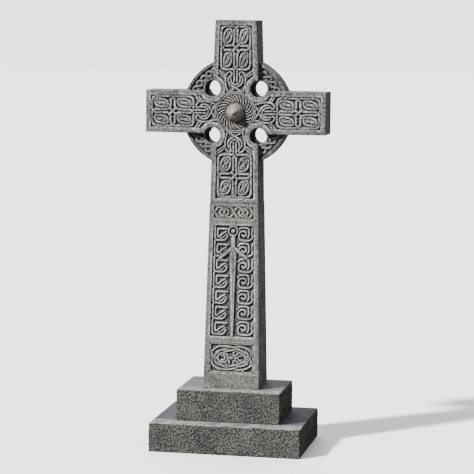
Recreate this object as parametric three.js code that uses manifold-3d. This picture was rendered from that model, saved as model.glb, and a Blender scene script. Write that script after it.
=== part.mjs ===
// A ringed stone cross on a stepped base: lower step, upper step, tapered shaft and cross head, stacked dry.
// Millimetres, +Z up, carved front towards -Y, origin under the middle of the lower step.
import * as THREE from "three";
import { mergeVertices } from "three/addons/utils/BufferGeometryUtils.js";
import Module from "manifold-3d";

const wasm = await Module();
wasm.setup();

// Lower and upper step
const lowerStepWidth = 430;
const lowerStepDepth = 330;
const lowerStepHeight = 82;
const upperStepWidth = 296;
const upperStepDepth = 220;
const upperStepHeight = 88;
const stepChamfer = 3;

// Shaft, a tapered block that stands on the upper step
const shaftHeight = 520;
const shaftFootWidth = 161;
const shaftTopWidth = 139.5;
const shaftFootDepth = 128;
const shaftTopDepth = 96;

// Cross head, measured from the middle of the crossing
const armReach = 255;
const headDepth = 91;
const crossbarRootWidth = 122;
const crossbarEndWidth = 118;
const uprightTopWidth = 117;
const uprightRootWidth = 131;
const uprightFootWidth = 138;
const ringRadius = 152.5;
const ringDepth = 64;
const ringRimWidth = 6;
const ringRimRise = 3;
const holeRadius = 22.5;
const holeOffset = 65;

// Boss and roundel at the crossing
const bossRadius = 28;
const bossHeight = 36;
const bossTipRadius = 6;
const roundelRadius = 59;
const roundelBandWidth = 4.5;
const roundelBandGap = 2;
const fluteCount = 22;
const fluteTwistDeg = 28;
const fluteRise = 3.6;

// Carving: pockets sunk into the face, with strands left standing in them
const margin = 14;
const pocketDepth = 5;
const strandSink = 1;
const strandWidth = 6.5;
const fineStrandWidth = 5;
const strandGap = 1.6;
const neckReach = 113;
const cellsAcross = 2;
const cellsAlong = 2;

// The shaft's panels, stacked from a plain foot; the sword's takes what height is left
const plainFoot = 43;
const knotPanelHeight = 86;
const panelBand = 17;
const smallPanelHeight = 39;
const plainTop = 5;
const knotPanelBottom = plainFoot;
const knotPanelTop = knotPanelBottom + knotPanelHeight;
const swordPanelBottom = knotPanelTop + panelBand;
const smallPanelTop = shaftHeight - plainTop;
const smallPanelBottom = smallPanelTop - smallPanelHeight;
const swordPanelTop = smallPanelBottom - panelBand;
const spiralCount = 7;
const spiralColumn = 33.5;
const spiralHalfWidth = 17.5;

const crossingHeight = lowerStepHeight + upperStepHeight + shaftHeight + armReach;
const headFace = headDepth / 2;
const overlap = 0.5;

// A closed three.js geometry as a solid
function solidOf(geometry) {
  const bare = geometry.index ? geometry.toNonIndexed() : geometry.clone();
  bare.deleteAttribute("normal");
  bare.deleteAttribute("uv");
  const merged = mergeVertices(bare, 1e-3);
  return new wasm.Manifold(
    new wasm.Mesh({
      numProp: 3,
      vertProperties: merged.attributes.position.array,
      triVerts: new Uint32Array(merged.index.array),
    }),
  );
}

// A flat outline in X and Z, extruded along Y: out is the distance in front of the middle plane
function prism(shape, outFrom, outTo) {
  if (shape.edges) return bandPrism(shape, outFrom, outTo);
  const geometry = new THREE.ExtrudeGeometry(shape, { depth: outTo - outFrom, bevelEnabled: false });
  geometry.translate(0, 0, outFrom);
  geometry.rotateX(Math.PI / 2);
  return geometry;
}

function shapeOf(points) {
  return new THREE.Shape(points.map(([x, z]) => new THREE.Vector2(x, z)));
}

function circleLine(x, z, radius, segments = 16) {
  return Array.from({ length: segments }, (_, i) => {
    const angle = (2 * Math.PI * i) / segments;
    return [x + radius * Math.cos(angle), z + radius * Math.sin(angle)];
  });
}

function circleShape(x, z, radius, segments = 24) {
  return shapeOf(circleLine(x, z, radius, segments));
}

// The two edges of a band that follows a line of points
function bandEdges(points, width, closed) {
  const count = points.length;
  return points.map(([x, z], i) => {
    const before = points[closed ? (i + count - 1) % count : Math.max(i - 1, 0)];
    const after = points[closed ? (i + 1) % count : Math.min(i + 1, count - 1)];
    const a = new THREE.Vector2(x - before[0], z - before[1]).normalize();
    const b = new THREE.Vector2(after[0] - x, after[1] - z).normalize();
    const along = a.clone().add(b).normalize();
    const stretch = 1 / Math.max(0.6, along.dot(a.length() ? a : b));
    const side = [(-along.y * width * stretch) / 2, (along.x * width * stretch) / 2];
    return [[x + side[0], z + side[1]], [x - side[0], z - side[1]]];
  });
}

// A band as runs of cross-sections. A line that crosses itself is given in pieces that don't.
function bandShapes(points, width, { closed = false, pieces = 1 } = {}) {
  const edges = bandEdges(points, width, closed);
  if (closed && pieces === 1) return [{ edges, closed }];
  const run = closed ? [...edges, edges[0]] : edges;
  const step = Math.ceil((run.length - 1) / pieces);
  const bands = [];
  for (let start = 0; start < run.length - 1; start += step) {
    bands.push({ edges: run.slice(start, start + step + 1), closed: false });
  }
  return bands;
}

// A band with its two sides, front and back joined from section to section
function bandPrism({ edges, closed }, outFrom, outTo) {
  const corners = edges.flatMap(([left, right]) => [
    [left[0], -outTo, left[1]], [right[0], -outTo, right[1]],
    [right[0], -outFrom, right[1]], [left[0], -outFrom, left[1]],
  ]);
  const index = [];
  const sections = edges.length;
  for (let i = 0; i < sections - (closed ? 0 : 1); i++) {
    const here = 4 * i;
    const next = 4 * ((i + 1) % sections);
    for (let k = 0; k < 4; k++) {
      const m = (k + 1) % 4;
      index.push(here + k, here + m, next + m, here + k, next + m, next + k);
    }
  }
  const last = 4 * (sections - 1);
  if (!closed) index.push(0, 3, 2, 0, 2, 1, last, last + 1, last + 2, last, last + 2, last + 3);
  return new THREE.BufferGeometry()
    .setAttribute("position", new THREE.Float32BufferAttribute(corners.flat(), 3))
    .setIndex(index);
}

function roundedLoop(x, z, halfX, halfZ, radius, cornerSteps = 1) {
  const points = [];
  [[1, 1], [-1, 1], [-1, -1], [1, -1]].forEach(([signX, signZ], corner) => {
    for (let i = 0; i <= cornerSteps; i++) {
      const angle = (corner + i / cornerSteps) * (Math.PI / 2);
      points.push([
        x + signX * (halfX - radius) + radius * Math.cos(angle),
        z + signZ * (halfZ - radius) + radius * Math.sin(angle),
      ]);
    }
  });
  return points;
}

// A leaning oval ring with an S-shaped strand laid through it
function ringKnot(x, z, halfX, halfZ, turned) {
  const lean = 0.5;
  const place = (a, b) => [x + halfX * (a * Math.cos(lean) + b * Math.sin(lean)),
    z + halfZ * (b * Math.cos(lean) - a * Math.sin(lean))];
  const ring = circleLine(0, 0, 1, 8).map(([a, b]) => place(0.74 * a, 0.98 * b));
  const half = [[0.06, 0.42], [-0.2, 0.98], [-0.84, 0.8]];
  const curve = [...half.map(([a, b]) => [-a, -b]).reverse(), ...half];
  return [
    ...bandShapes(turned(ring), fineStrandWidth, { closed: true }),
    ...bandShapes(turned(curve.map(([a, b]) => place(a, b))), fineStrandWidth),
  ];
}

// A square-cornered spiral that winds in from its outer end
function keySpiral(x, z, half, turns, side, roundness, steps) {
  const points = [];
  for (let i = 0; i <= steps; i++) {
    const angle = -0.75 * Math.PI + (2 * Math.PI * turns * i) / steps;
    const radius = half * (1 - (0.82 * i) / steps);
    const [c, s] = [Math.cos(angle), Math.sin(angle)];
    const squared = 1 / Math.pow(c ** 8 + s ** 8, 1 / 8);
    const reach = radius * (roundness + (1 - roundness) * squared);
    points.push([x + side * reach * c, z - reach * s]);
  }
  return points;
}

// The union of many bands as one solid between two depths
function carve(shapes, outFrom, outTo, place = (geometry) => geometry) {
  return wasm.Manifold.union(shapes.map((shape) => solidOf(place(prism(shape, outFrom, outTo)))));
}

function mesh(name, solid, color, height = 0) {
  const made = solid.getMesh();
  const geometry = new THREE.BufferGeometry()
    .setAttribute("position", new THREE.BufferAttribute(new Float32Array(made.vertProperties), 3))
    .setIndex(new THREE.BufferAttribute(new Uint32Array(made.triVerts), 1));
  geometry.computeVertexNormals();
  const stone = new THREE.MeshStandardMaterial({ color, roughness: 0.92, metalness: 0 });
  const part = new THREE.Mesh(geometry, stone);
  part.name = name;
  part.position.z = height;
  return part;
}

// Steps: plain blocks with a small chamfer on every edge of the top and underside
function stepBlock(width, depth, height) {
  const x = width / 2 - stepChamfer;
  const y = depth / 2 - stepChamfer;
  const geometry = new THREE.ExtrudeGeometry(shapeOf([[-x, -y], [x, -y], [x, y], [-x, y]]), {
    depth: height - 2 * stepChamfer,
    bevelEnabled: true,
    bevelSegments: 1,
    bevelThickness: stepChamfer,
    bevelSize: stepChamfer,
  });
  geometry.translate(0, 0, stepChamfer);
  return solidOf(geometry);
}

// Shaft: flat carving is laid on the leaning front face and narrows with it
function shaftWidthAt(z) {
  return shaftFootWidth + ((shaftTopWidth - shaftFootWidth) * z) / shaftHeight;
}

function shaftFaceAt(z) {
  return (shaftFootDepth + ((shaftTopDepth - shaftFootDepth) * z) / shaftHeight) / 2;
}

function ontoShaft(geometry) {
  const position = geometry.getAttribute("position");
  for (let i = 0; i < position.count; i++) {
    const z = position.getZ(i);
    position.setX(i, (position.getX(i) * shaftWidthAt(z)) / shaftWidthAt(shaftHeight / 2));
    position.setY(i, position.getY(i) - shaftFaceAt(z));
  }
  return geometry;
}

function shaftBlock() {
  const geometry = new THREE.BoxGeometry(1, 1, shaftHeight).translate(0, 0, shaftHeight / 2);
  const position = geometry.getAttribute("position");
  for (let i = 0; i < position.count; i++) {
    const z = position.getZ(i);
    position.setX(i, position.getX(i) * shaftWidthAt(z));
    position.setY(i, position.getY(i) * 2 * shaftFaceAt(z));
  }
  return solidOf(geometry);
}

const shaftPanelHalf = shaftWidthAt(shaftHeight / 2) / 2 - margin;

function panelShape(bottom, top) {
  const x = shaftPanelHalf;
  return shapeOf([[-x, bottom], [x, bottom], [x, top], [-x, top]]);
}

// The sword: ring pommel, grip, drooping guard and a tapering blade
function swordShapes() {
  const pommelZ = swordPanelTop - 17;
  const guardZ = swordPanelTop - 62;
  const guardDrop = 25;
  const guardReach = 32;
  const bladeTop = guardZ - 8;
  const bladeHalf = 11;
  const tipHalf = 3.5;
  return [
    ...bandShapes(circleLine(0, pommelZ, 13.5, 14), 5, { closed: true }),
    circleShape(0, pommelZ, 7, 12),
    shapeOf([[-5.5, guardZ - 4], [5.5, guardZ - 4], [5.5, pommelZ - 12], [-5.5, pommelZ - 12]]),
    ...bandShapes([[-guardReach, guardZ - guardDrop], [0, guardZ], [guardReach, guardZ - guardDrop]], 7),
    shapeOf([[-bladeHalf, bladeTop], [-tipHalf, swordPanelBottom - 2], [tipHalf, swordPanelBottom - 2],
      [bladeHalf, bladeTop]]),
  ];
}

function spiralShapes() {
  const pitch = (swordPanelTop - swordPanelBottom - 2 * strandGap) / spiralCount;
  const shapes = [];
  for (let row = 0; row < spiralCount; row++) {
    const z = swordPanelBottom + strandGap + pitch * (row + 0.5);
    for (const side of [-1, 1]) {
      const roundness = side < 0 ? 0.1 : 0.55;
      const line = keySpiral(side * spiralColumn, z, spiralHalfWidth - fineStrandWidth / 2, 1.6, side, roundness, 10);
      shapes.push(...bandShapes(line, fineStrandWidth));
    }
  }
  return shapes;
}

function waveLine(halfLength, halfRise, waves, phase, z, steps) {
  const points = [];
  for (let i = 0; i <= steps; i++) {
    const x = -halfLength + (2 * halfLength * i) / steps;
    points.push([x, z + halfRise * Math.sin((waves * Math.PI * x) / halfLength + phase)]);
  }
  return points;
}

// Small panel: two rings threaded on a pair of crossing waves
function smallPanelShapes() {
  const z = (smallPanelBottom + smallPanelTop) / 2;
  const rise = (smallPanelTop - smallPanelBottom) / 2 - fineStrandWidth / 2 - strandGap;
  const reach = shaftPanelHalf - fineStrandWidth;
  return [
    ...bandShapes(waveLine(reach, rise, 2, 0, z, 14), fineStrandWidth),
    ...bandShapes(waveLine(reach, rise, 2, Math.PI, z, 14), fineStrandWidth),
    ...[-1, 1].flatMap((side) =>
      bandShapes(circleLine(side * reach * 0.52, z, 11, 12), fineStrandWidth, { closed: true })),
  ];
}

// Lower panel: two interlaced rings inside a wide oval, with a lozenge across the middle
function knotPanelShapes() {
  const z = (knotPanelBottom + knotPanelTop) / 2;
  const rise = (knotPanelTop - knotPanelBottom) / 2 - strandWidth / 2 - strandGap;
  const reach = shaftPanelHalf - strandWidth / 2 - strandGap;
  return [
    ...bandShapes(roundedLoop(0, z, reach, rise, rise - 2, 5), strandWidth, { closed: true }),
    ...[-1, 1].flatMap((side) =>
      bandShapes(circleLine((side * reach) / 2.1, z, 23), strandWidth, { closed: true })),
    ...bandShapes([[-reach * 0.86, z], [0, z + rise * 0.9], [reach * 0.86, z], [0, z - rise * 0.9]],
      fineStrandWidth, { closed: true }),
  ];
}

function shaftSolid() {
  const pockets = [
    panelShape(knotPanelBottom, knotPanelTop),
    panelShape(swordPanelBottom, swordPanelTop),
    panelShape(smallPanelBottom, smallPanelTop),
  ];
  const sunk = shaftBlock().subtract(carve(pockets, -pocketDepth, 1, ontoShaft));
  const strands = [...spiralShapes(), ...smallPanelShapes(), ...knotPanelShapes()];
  const inPockets = carve(strands, -pocketDepth - overlap, -strandSink, ontoShaft)
    .intersect(carve(pockets, -pocketDepth - 2 * overlap, 1, ontoShaft));
  const sword = carve(swordShapes(), -pocketDepth - overlap, overlap, ontoShaft);
  return wasm.Manifold.union([sunk, inPockets, sword]);
}

// Head: four nearly equal arms, a thin ring set back between them, and a hole in each inner corner
function crossOutline(inset, endInset) {
  const foot = -armReach + endInset;
  const top = armReach - endInset;
  const upright = shapeOf([
    [-uprightFootWidth / 2 + inset, foot], [uprightFootWidth / 2 - inset, foot],
    [uprightRootWidth / 2 - inset, -crossbarRootWidth / 2], [uprightRootWidth / 2 - inset, crossbarRootWidth / 2],
    [uprightTopWidth / 2 - inset, top], [-uprightTopWidth / 2 + inset, top],
    [-uprightRootWidth / 2 + inset, crossbarRootWidth / 2], [-uprightRootWidth / 2 + inset, -crossbarRootWidth / 2],
  ]);
  const crossbar = shapeOf([
    [-armReach + endInset, -crossbarEndWidth / 2 + inset], [0, -crossbarRootWidth / 2 + inset],
    [armReach - endInset, -crossbarEndWidth / 2 + inset], [armReach - endInset, crossbarEndWidth / 2 - inset],
    [0, crossbarRootWidth / 2 - inset], [-armReach + endInset, crossbarEndWidth / 2 - inset],
  ]);
  return [upright, crossbar];
}

const corners = [[1, 1], [-1, 1], [-1, -1], [1, -1]];

function cornerCylinders(radius, outFrom, outTo, segments) {
  return wasm.Manifold.union(corners.map(([signX, signZ]) =>
    solidOf(prism(circleShape(signX * holeOffset, signZ * holeOffset, radius, segments), outFrom, outTo))));
}

// Turns a shape drawn on the upper arm, with u across and v outwards, onto each of the four arms
function onEachArm(drawLines) {
  return [0, 1, 2, 3].flatMap((quarter) => {
    const [c, s] = [[1, 0], [0, 1], [-1, 0], [0, -1]][quarter];
    const armWidth = quarter === 2 ? uprightRootWidth : crossbarEndWidth;
    return drawLines((points) => points.map(([u, v]) => [u * c - v * s, u * s + v * c]), armWidth);
  });
}

// Arm panel: two by two cells, each a rounded loop round a twisted knot, tied by a cross in the middle
function armPanelShapes(turned, armWidth) {
  const halfAcross = armWidth / 2 - margin;
  const cellX = (2 * halfAcross) / cellsAcross;
  const cellZ = (armReach - margin - neckReach) / cellsAlong;
  const shapes = [];
  for (let column = 0; column < cellsAcross; column++) {
    for (let row = 0; row < cellsAlong; row++) {
      const u = -halfAcross + cellX * (column + 0.5);
      const v = neckReach + cellZ * (row + 0.5);
      const halfX = cellX / 2 - strandGap / 2 - strandWidth / 2;
      const halfZ = cellZ / 2 - strandGap / 2 - strandWidth / 2;
      shapes.push(...bandShapes(turned(roundedLoop(u, v, halfX, halfZ, 9)), strandWidth, { closed: true }));
      const inner = strandWidth / 2 + strandGap;
      shapes.push(...ringKnot(u, v, halfX - inner - 2.5, halfZ - inner - 2.5, turned));
    }
  }
  const v = neckReach + cellZ;
  const tie = 8;
  shapes.push(...bandShapes(turned([[-tie, v - tie], [tie, v + tie]]), strandWidth));
  shapes.push(...bandShapes(turned([[tie, v - tie], [-tie, v + tie]]), strandWidth));
  return shapes;
}

// Neck: two loops that cross above the roundel, a straight pair between them and a bar to each side
function neckShapes(turned) {
  const loop = [[-25, 58], [-25, 97], [-16, 108], [-9.5, 100], [-9, 86], [13, 63]];
  const pair = [[-3.6, 118], [-3.6, 88], [0, 84], [3.6, 88], [3.6, 118]];
  const bar = [[-30, 96], [-46, 111]];
  const mirrored = (points) => points.map(([u, v]) => [-u, v]);
  return [
    ...bandShapes(turned(loop), fineStrandWidth),
    ...bandShapes(turned(mirrored(loop)), fineStrandWidth),
    ...bandShapes(turned(pair), fineStrandWidth - 1),
    ...bandShapes(turned(bar), strandWidth),
    ...bandShapes(turned(mirrored(bar)), strandWidth),
  ];
}

function ringBand(radius, width, segments) {
  return bandShapes(circleLine(0, 0, radius, segments), width, { closed: true })[0];
}

function fluteShapes() {
  const inner = bossRadius - 1;
  const outer = roundelRadius - 2 * roundelBandWidth - 2 * roundelBandGap;
  const steps = 2;
  const shapes = [];
  for (let flute = 0; flute < fluteCount; flute++) {
    const line = [];
    for (let i = 0; i <= steps; i++) {
      const share = i / steps;
      const radius = inner + (outer - inner) * share;
      const turn = THREE.MathUtils.degToRad(fluteTwistDeg) * share ** 1.3;
      const angle = (2 * Math.PI * flute) / fluteCount + turn;
      line.push([radius * Math.cos(angle), radius * Math.sin(angle)]);
    }
    shapes.push(...bandShapes(line, fluteRise));
  }
  return shapes;
}

// Ring carving: two strands twisted along the middle of each quarter
function ringTwistShapes() {
  const middle = 129;
  const swing = 9;
  const steps = 6;
  const halfSweep = 0.34;
  return corners.flatMap(([signX, signZ]) => [1, -1].map((side) => {
    const line = [];
    for (let i = 0; i <= steps; i++) {
      const share = (2 * i) / steps - 1;
      const radius = middle + side * swing * Math.cos(2 * Math.PI * share);
      const angle = Math.PI / 4 + halfSweep * share;
      line.push([signX * radius * Math.cos(angle), signZ * radius * Math.sin(angle)]);
    }
    return bandShapes(line, strandWidth)[0];
  }));
}

function bossSolid() {
  const profile = [[0, 0], [bossRadius, 0], [bossRadius, 3]];
  const slope = Math.atan2(bossHeight, bossRadius);
  for (let i = 0; i <= 3; i++) {
    const angle = (i / 3) * slope;
    const radius = bossTipRadius * Math.sin(slope - angle);
    profile.push([radius, bossHeight - bossTipRadius * (1 - Math.cos(slope - angle))]);
  }
  profile[profile.length - 1][0] = 0;
  const lathe = new THREE.LatheGeometry(profile.map(([r, h]) => new THREE.Vector2(r, h)), 28);
  lathe.rotateX(Math.PI);
  lathe.translate(0, -(headFace - pocketDepth - overlap), 0);
  return solidOf(lathe);
}

function headSolid() {
  const ringFace = ringDepth / 2;
  const arms = carve(crossOutline(0, 0), -headFace, headFace);
  const ring = solidOf(prism(circleShape(0, 0, ringRadius, 52), -ringFace, ringFace));
  const rim = solidOf(prism(ringBand(ringRadius - ringRimWidth / 2, ringRimWidth, 52), 0, ringFace + ringRimRise));
  const twist = carve(ringTwistShapes(), 0, ringFace + ringRimRise);
  const holes = cornerCylinders(holeRadius, -headFace - 1, headFace + 1, 20);
  const body = wasm.Manifold.union([arms, ring, rim, twist]).subtract(holes);
  const floor = headFace - pocketDepth;
  const collars = cornerCylinders(holeRadius + margin, floor - 1, headFace + 2, 20);
  const pocket = carve(crossOutline(margin, margin), floor, headFace + 1).subtract(collars);
  const top = headFace - strandSink;
  const drawn = [...onEachArm(armPanelShapes), ...onEachArm(neckShapes)];
  const clip = carve(crossOutline(margin, margin), floor - 2 * overlap, headFace).subtract(collars);
  const disc = solidOf(prism(circleShape(0, 0, roundelRadius - roundelBandWidth, 40), floor - 3, headFace + 1));
  const strands = carve(drawn, floor - overlap, top).intersect(clip).subtract(disc);
  const innerBand = roundelRadius - 1.5 * roundelBandWidth - roundelBandGap;
  const bands = carve([ringBand(roundelRadius - roundelBandWidth / 2, roundelBandWidth, 32),
    ringBand(innerBand, roundelBandWidth, 32)], floor - overlap, headFace - 0.4);
  const flutes = carve(fluteShapes(), floor - overlap, top);
  return wasm.Manifold.union([body.subtract(pocket), strands, bands, flutes, bossSolid()]);
}

const stoneGrey = 0x77756f;
const cross = new THREE.Group();
cross.add(mesh("lower_step", stepBlock(lowerStepWidth, lowerStepDepth, lowerStepHeight), stoneGrey));
cross.add(mesh("upper_step", stepBlock(upperStepWidth, upperStepDepth, upperStepHeight), stoneGrey, lowerStepHeight));
cross.add(mesh("shaft", shaftSolid(), stoneGrey, lowerStepHeight + upperStepHeight));
cross.add(mesh("cross_head", headSolid(), stoneGrey, crossingHeight));

export default cross;
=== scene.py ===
import math

import bpy
import numpy as np
from mathutils import Matrix, Vector


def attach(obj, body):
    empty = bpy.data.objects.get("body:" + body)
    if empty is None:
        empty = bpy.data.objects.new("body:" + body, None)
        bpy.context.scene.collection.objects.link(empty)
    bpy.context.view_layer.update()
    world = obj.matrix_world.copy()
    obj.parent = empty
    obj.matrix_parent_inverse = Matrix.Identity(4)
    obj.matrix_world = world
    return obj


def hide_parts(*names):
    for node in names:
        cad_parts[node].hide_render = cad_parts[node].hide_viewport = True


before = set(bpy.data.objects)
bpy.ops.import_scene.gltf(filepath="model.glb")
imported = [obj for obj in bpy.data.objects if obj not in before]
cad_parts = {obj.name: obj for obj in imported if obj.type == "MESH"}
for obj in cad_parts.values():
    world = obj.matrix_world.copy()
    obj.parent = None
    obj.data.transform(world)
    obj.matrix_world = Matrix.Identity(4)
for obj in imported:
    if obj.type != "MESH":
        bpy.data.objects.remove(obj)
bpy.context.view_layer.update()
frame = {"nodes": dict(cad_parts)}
print("frame loaded:", ", ".join(frame["nodes"]))

# all lengths are in millimetres until a mesh is made
step = 1.0      # spacing of the carved surface's samples
plainShade, holePaintedShade = 0.24, 0.80     # value of dirt and painted shade on bare faces, and the painted shade on the walls of the holes


# value noise: random numbers at the corners of a cubic lattice, blended with 3t^2 - 2t^3
def latticeNoise(points, size, seed):
    scaled = np.asarray(points, float) / size + 1000.5
    cell = np.floor(scaled).astype(np.int64)
    t = scaled - cell
    t = t * t * (3 - 2 * t)
    total = np.zeros(len(scaled))
    for corner in range(8):
        side = np.array([corner & 1, corner >> 1 & 1, corner >> 2 & 1])
        key = (cell + side) @ np.array([73856093, 19349663, 83492791]) + seed * 26544357
        key = (key ^ (key >> 13)) * 12741261
        key = (key ^ (key >> 16)) & 0xFFFF
        total += np.prod(np.where(side, t, 1 - t), axis=1) * (key / 32767.5 - 1)
    return total


# stone wear: a slow wave, a coarse grain and a fine grain added together
def wear(points, slow, coarse, fine, seed):
    return (slow * latticeNoise(points, 27, seed) + coarse * latticeNoise(points, 8.5, seed + 1)
            + fine * latticeNoise(points, 3.4, seed + 2))


# smooth step: 3t^2 - 2t^3 between the two limits
def easeStep(value, low, high):
    t = np.clip((value - low) / (high - low), 0, 1)
    return t * t * (3 - 2 * t)


# box blur: the mean over a square window, from running sums, done twice
def blurred(field, reach):
    size = max(1, int(round(reach / step)))
    for _ in range(2):
        for axis in (0, 1):
            pad = [(size + 1, size) if a == axis else (0, 0) for a in (0, 1)]
            run = np.cumsum(np.pad(field, pad, mode="edge"), axis=axis)
            width = 2 * size + 1
            field = (np.take(run, range(width, run.shape[axis]), axis)
                     - np.take(run, range(0, run.shape[axis] - width), axis)) / width
    return field


# one mesh from points in millimetres, four-cornered faces, flat end caps and a value of dirt and painted shade for
# each point
def putPiece(name, points, quads, node, material, caps=(), dirtAndPaintedShade=None):
    mesh = bpy.data.meshes.new(name)
    corners = np.concatenate([np.asarray(quads).ravel(), *[np.asarray(c) for c in caps]]).astype(np.int32)
    counts = np.array([4] * len(quads) + [len(c) for c in caps])
    mesh.vertices.add(len(points))
    mesh.vertices.foreach_set("co", (np.asarray(points) / 1000).ravel())
    mesh.loops.add(len(corners))
    mesh.loops.foreach_set("vertex_index", corners)
    mesh.polygons.add(len(counts))
    mesh.polygons.foreach_set("loop_start", np.concatenate([[0], np.cumsum(counts)[:-1]]).astype(np.int32))
    mesh.polygons.foreach_set("use_smooth", np.arange(len(counts)) < len(quads))
    mesh.update(calc_edges=True)
    if dirtAndPaintedShade is not None:
        mesh.attributes.new("dirtAndPaintedShade", "FLOAT", "POINT").data.foreach_set("value", dirtAndPaintedShade.astype(np.float32))
    piece = bpy.data.objects.new(name, mesh)
    bpy.context.collection.objects.link(piece)
    mesh.materials.append(material)
    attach(piece, "root")
    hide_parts(node)
    print(name, len(points), "points")
    return piece


# a grid closed round its columns: point = column x rows + row, each cell a face, first and last row a cap
def tubeFaces(columns, rows):
    i, j = (a.ravel() for a in np.meshgrid(np.arange(columns), np.arange(rows - 1), indexing="ij"))
    k = (i + 1) % columns
    quads = np.stack([i * rows + j, k * rows + j, k * rows + j + 1, i * rows + j + 1], 1)
    return quads, [np.arange(columns)[::-1] * rows, np.arange(columns) * rows + rows - 1]


# dirt and painted shade of a carved face: a base value, plus how far it lies below its surroundings, plus its depth;
# low values become wear and a painted highlight
def pocketShade(depth, sunk, pocket):
    return np.clip(0.22 + 0.30 * (depth - blurred(depth, 3.5)) / 2 + 0.34 * sunk / pocket, 0, 1)


# a node's own values, put on its sockets by name
def setSockets(node, values):
    for socket, value in values.items():
        node.inputs[socket].default_value = value


# weathered stone: two greys mixed by slow noise, a warmer tint, then speckle and grain multiplied in;
# the pockets take dirt and painted shade and the strands take wear and a painted highlight, the boss is warmer
# by its distance from a point, and upward faces turn to the top's bluish painted sky reflection, with pale dust and
# painted light that fade back from the front edge
def stoneFinish(name, look):
    material = bpy.data.materials.new(name)
    material.use_nodes = True
    nodes, links = material.node_tree.nodes, material.node_tree.links
    shader = nodes["Principled BSDF"]
    place = nodes.new("ShaderNodeTexCoord").outputs["Object"]

    def noise(scale, detail=4, rough=0.6):
        made = nodes.new("ShaderNodeTexNoise")
        setSockets(made, {"Scale": scale, "Detail": detail, "Roughness": rough})
        links.new(place, made.inputs["Vector"])
        return made.outputs["Fac"]

    def ramp(source, *stops):                # stops of (place, colour) or (place, grey value)
        made = nodes.new("ShaderNodeValToRGB")
        while len(made.color_ramp.elements) < len(stops):
            made.color_ramp.elements.new(0.5)
        for element, (at, colour) in zip(made.color_ramp.elements, stops):
            element.position = at
            element.color = (*((colour,) * 3 if np.isscalar(colour) else colour), 1)
        links.new(source, made.inputs["Fac"])
        return made.outputs["Color"]

    def mix(mode, amount, first, second):
        made = nodes.new("ShaderNodeMix")
        made.data_type, made.blend_type = "RGBA", mode
        factor, a, b = made.inputs[0], made.inputs[6], made.inputs[7]      # the colour sockets of a Mix node
        for socket, value in ((factor, amount), (a, first), (b, second)):
            if isinstance(value, bpy.types.NodeSocket):
                links.new(value, socket)
            else:
                socket.default_value = value
        return made.outputs[2]

    def part(vector, axis):
        made = nodes.new("ShaderNodeSeparateXYZ")
        links.new(vector, made.inputs[0])
        return made.outputs[axis]

    tone = ramp(noise(look["patch"], detail=5), (0.36, look["dark"]), (0.64, look["light"]))
    tint = ramp(noise(look["patch"] * 1.7, detail=3), (0.50, 0.0), (0.62, look["tintAmount"]))
    tone = mix("MIX", tint, tone, (*look["tint"], 1))
    low, high = look["edge"]
    speckle = ramp(noise(look["speckle"], detail=2, rough=0.7),
                   (low, look["speckleLow"]), (high, look["speckleHigh"]))
    tone = mix("MULTIPLY", 1.0, tone, speckle)
    grain = ramp(noise(look["grain"], detail=2, rough=0.7), (0.34, look["grainLow"]), (0.66, look["grainHigh"]))
    tone = mix("MULTIPLY", 1.0, tone, grain)
    if look.get("dirtAndPaintedShade"):                   # dirt and painted shade in the pockets, wear and a painted highlight on the strands
        made = nodes.new("ShaderNodeAttribute")
        made.attribute_name = "dirtAndPaintedShade"
        dirt = ramp(made.outputs["Fac"], (0.05, look["wearAndPaintedHighlight"]), (0.21, 1.0), (0.85, look["dirtAndPaintedShade"]))
        tone = mix("MULTIPLY", 1.0, tone, dirt)
    if look.get("boss"):                     # the boss is a sandier colour
        middle = nodes.new("ShaderNodeVectorMath")
        middle.operation = "DISTANCE"
        middle.inputs[1].default_value = look["bossAt"]
        links.new(place, middle.inputs[0])
        spot = ramp(middle.outputs["Value"], (look["bossFrom"], 0.75), (look["bossTo"], 0.0))
        tone = mix("MULTIPLY", spot, tone, (*look["boss"], 1))
    if look.get("top"):                      # upward faces are smoother and take a bluish painted sky reflection, with pale dust and painted light at the front
        normal = nodes.new("ShaderNodeNewGeometry").outputs["Normal"]
        upward = ramp(part(normal, "Z"), (0.6, 0.0), (0.9, 0.8))
        paintedSkyTop = ramp(noise(look["topPatch"], detail=6, rough=0.7), (0.34, look["topDark"]), (0.58, look["top"]))
        paintedSkyTop = mix("MULTIPLY", 1.0, paintedSkyTop, grain)
        nearFront = nodes.new("ShaderNodeMapRange")         # 1 at the ledge's front edge, 0 where the dust and painted light end
        front, dustAndLightEnd = look["dustAndLightSpan"]
        setSockets(nearFront, {"From Min": front, "From Max": dustAndLightEnd, "To Min": 1, "To Max": 0})
        links.new(part(place, "Y"), nearFront.inputs["Value"])
        dustAndLightMask = mix("MULTIPLY", 1.0, ramp(nearFront.outputs["Result"], (0.08, 0.0), (0.45, 1.0)),
                    ramp(noise(look["dustAndLightPatch"], detail=5, rough=0.7), (0.40, 0.30), (0.56, 1.0)))
        paintedSkyTop = mix("MIX", dustAndLightMask, paintedSkyTop, mix("MULTIPLY", 0.6, (*look["dustAndLight"], 1), speckle))
        tone = mix("MIX", upward, tone, paintedSkyTop)
    links.new(tone, shader.inputs["Base Color"])
    rough = ramp(noise(look["speckle"] * 0.6, detail=3), (0.3, 0.80), (0.7, 0.97))
    links.new(rough, shader.inputs["Roughness"])
    shader.inputs["Specular IOR Level"].default_value = 0.25
    bump = nodes.new("ShaderNodeBump")
    setSockets(bump, {"Strength": look["bump"], "Distance": 0.0012})
    rise = mix("ADD", 0.5, noise(look["grain"], detail=3, rough=0.75), noise(look["speckle"], detail=3))
    links.new(rise, bump.inputs["Height"])
    links.new(bump.outputs["Normal"], shader.inputs["Normal"])
    return material


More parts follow.
